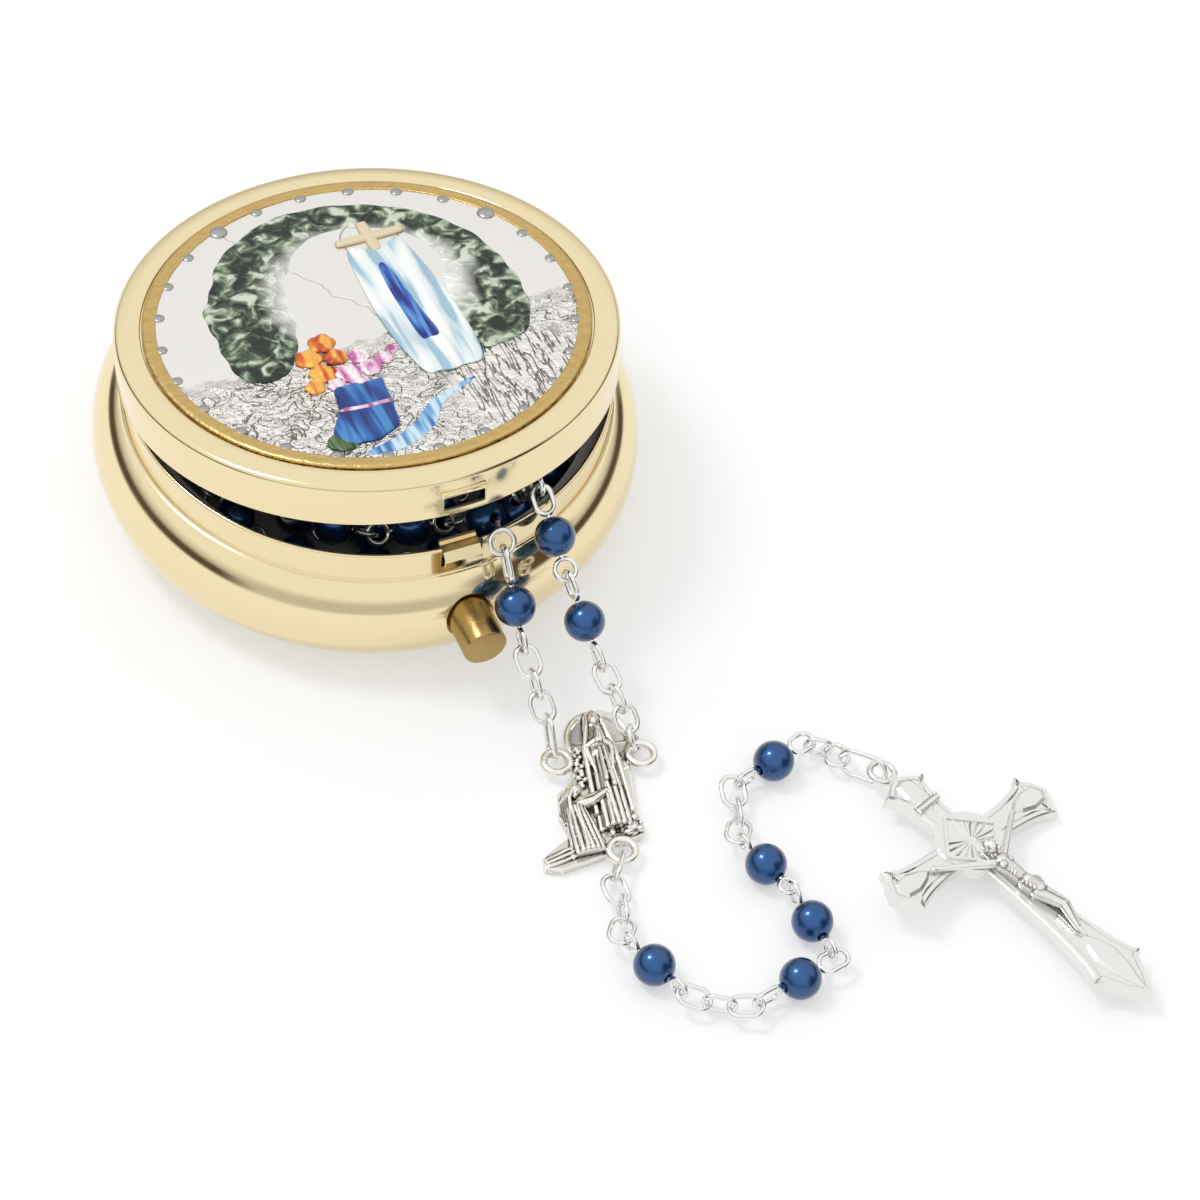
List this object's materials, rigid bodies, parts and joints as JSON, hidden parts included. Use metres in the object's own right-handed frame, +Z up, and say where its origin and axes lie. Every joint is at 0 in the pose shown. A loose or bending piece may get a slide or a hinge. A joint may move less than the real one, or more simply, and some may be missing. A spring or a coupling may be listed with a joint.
{
  "type": "rosary box with rosary",
  "caption": "Round polished box with a hinged lid set with a picture disc and a push-button catch, standing ajar, with a blue bead rosary hanging out over its rim",
  "frame": {"origin": "On the round box's axis, on the table that it stands on", "axes": "+Z up; the button and catch are towards -Y and the hinge is towards +Y; X is along the hinge pin"},
  "size_m": [0.074, 0.1137, 0.0249],
  "materials": {
    "base_bowl": "polished",
    "collar_ring": "polished",
    "bowl_liner": "satin",
    "button_bush": "satin",
    "push_button": "satin",
    "catch_foot": "satin",
    "catch_leaf": "polished",
    "catch_rivets": "polished",
    "hinge_base_leaf": "polished",
    "hinge_lid_leaf": "polished",
    "hinge_pin": "satin",
    "lid_frame": "polished",
    "lid_lining": "satin",
    "picture_bezel": "brushed",
    "picture_plate": "stippled, with a coloured picture",
    "stored_beads": "pearly",
    "stored_pins": "bright",
    "left_inner_link": "bright",
    "left_inner_bead": "pearly",
    "left_inner_pin": "bright",
    "left_outer_bead": "pearly",
    "left_outer_pin": "bright",
    "left_chain_links": "bright",
    "left_jump_ring": "bright",
    "right_rim_links": "bright",
    "right_inner_link": "bright",
    "right_inner_bead": "pearly",
    "right_inner_pin": "bright",
    "right_upper_bead": "pearly",
    "right_upper_pin": "bright",
    "right_lower_bead": "pearly",
    "right_lower_pin": "bright",
    "right_chain_links": "bright",
    "right_jump_ring": "bright",
    "medal": "old silver",
    "medal_chain_links": "bright",
    "pendant_bead_1": "pearly",
    "pendant_bead_2": "pearly",
    "pendant_bead_3": "pearly",
    "pendant_bead_4": "pearly",
    "pendant_bead_5": "pearly",
    "pendant_pin_1": "bright",
    "pendant_pin_2": "bright",
    "pendant_pin_3": "bright",
    "pendant_pin_4": "bright",
    "pendant_pin_5": "bright",
    "lower_chain_links": "bright",
    "upper_chain_links": "bright",
    "cross_chain_links": "bright",
    "cross_jump_ring": "bright",
    "crucifix": "satin"
  },
  "bodies": {
    "box": {"base_bowl": "base_bowl", "collar_ring": "collar_ring", "bowl_liner": "bowl_liner", "button_bush": "button_bush", "catch_foot": "catch_foot", "catch_rivets": "catch_rivets", "hinge_base_leaf": "hinge_base_leaf", "hinge_pin": "hinge_pin", "stored_beads": "stored_beads", "stored_pins": "stored_pins", "left_inner_link": "left_inner_link", "left_inner_bead": "left_inner_bead", "left_inner_pin": "left_inner_pin", "left_outer_bead": "left_outer_bead", "left_outer_pin": "left_outer_pin", "left_chain_links": "left_chain_links", "left_jump_ring": "left_jump_ring", "right_rim_links": "right_rim_links", "right_inner_link": "right_inner_link", "right_inner_bead": "right_inner_bead", "right_inner_pin": "right_inner_pin", "right_upper_bead": "right_upper_bead", "right_upper_pin": "right_upper_pin", "right_lower_bead": "right_lower_bead", "right_lower_pin": "right_lower_pin", "right_chain_links": "right_chain_links", "right_jump_ring": "right_jump_ring", "medal": "medal"},
    "lid": {"hinge_lid_leaf": "hinge_lid_leaf", "lid_frame": "lid_frame", "lid_lining": "lid_lining", "picture_bezel": "picture_bezel", "picture_plate": "picture_plate"},
    "button": {"push_button": "push_button"},
    "catch": {"catch_leaf": "catch_leaf"},
    "pendant_foot": {"medal_chain_links": "medal_chain_links", "pendant_pin_1": "pendant_pin_1", "pendant_bead_1": "pendant_bead_1"},
    "pendant_lower": {"lower_chain_links": "lower_chain_links", "pendant_pin_2": "pendant_pin_2", "pendant_bead_2": "pendant_bead_2"},
    "pendant_turn": {"pendant_pin_3": "pendant_pin_3", "pendant_bead_3": "pendant_bead_3"},
    "pendant_upper": {"pendant_pin_4": "pendant_pin_4", "pendant_bead_4": "pendant_bead_4", "upper_chain_links": "upper_chain_links"},
    "pendant_head": {"pendant_pin_5": "pendant_pin_5", "pendant_bead_5": "pendant_bead_5", "cross_chain_links": "cross_chain_links", "cross_jump_ring": "cross_jump_ring"},
    "cross": {"crucifix": "crucifix"}
  },
  "joints": [
    {"name": "lid_hinge", "type": "hinge", "parent": "box", "child": "lid", "pos_m": [0, 0.0255, 0.0126], "axis": [-1, 0, 0], "range_deg": [-9, 86], "deforming": ["left_inner_pin", "right_upper_pin", "right_rim_links"]},
    {"name": "button_press", "type": "slide", "parent": "box", "child": "button", "axis": [0, 1, 0], "range_m": [0, 0.0008], "stiffness_N_per_m": 1500, "springref_m": -0.0005},
    {"name": "catch_flex", "type": "hinge", "parent": "box", "child": "catch", "pos_m": [0, -0.02285, 0.0017], "axis": [-1, 0, 0], "range_deg": [0, 7.4]},
    {"name": "pendant_foot_swing", "type": "hinge", "parent": "box", "child": "pendant_foot", "pos_m": [0.0044, -0.0537, 0.00145], "axis": [0, 0, 1], "range_deg": [-12, 12]},
    {"name": "pendant_lower_swing", "type": "hinge", "parent": "pendant_foot", "child": "pendant_lower", "pos_m": [0.0038, -0.07, 0.002], "axis": [0, 0, -1], "range_deg": [-12, 12]},
    {"name": "pendant_turn_swing", "type": "hinge", "parent": "pendant_lower", "child": "pendant_turn", "pos_m": [0.0191, -0.0715, 0.002], "axis": [0, 0, 1], "range_deg": [-12, 12]},
    {"name": "pendant_upper_swing", "type": "hinge", "parent": "pendant_turn", "child": "pendant_upper", "pos_m": [0.0181, -0.0632, 0.002], "axis": [0, 0, -1], "range_deg": [-12, 12]},
    {"name": "pendant_head_swing", "type": "hinge", "parent": "pendant_upper", "child": "pendant_head", "pos_m": [0.0182, -0.05, 0.002], "axis": [0, 0, 1], "range_deg": [-12, 12]},
    {"name": "cross_swing", "type": "hinge", "parent": "pendant_head", "child": "cross", "pos_m": [0.0318, -0.0539, 0.00225], "axis": [0, 0, -1], "range_deg": [-12, 12]}
  ],
  "couplings": [
    {"joint": "catch_flex", "follows": "button_press", "rad_per_m": 158}
  ]
}
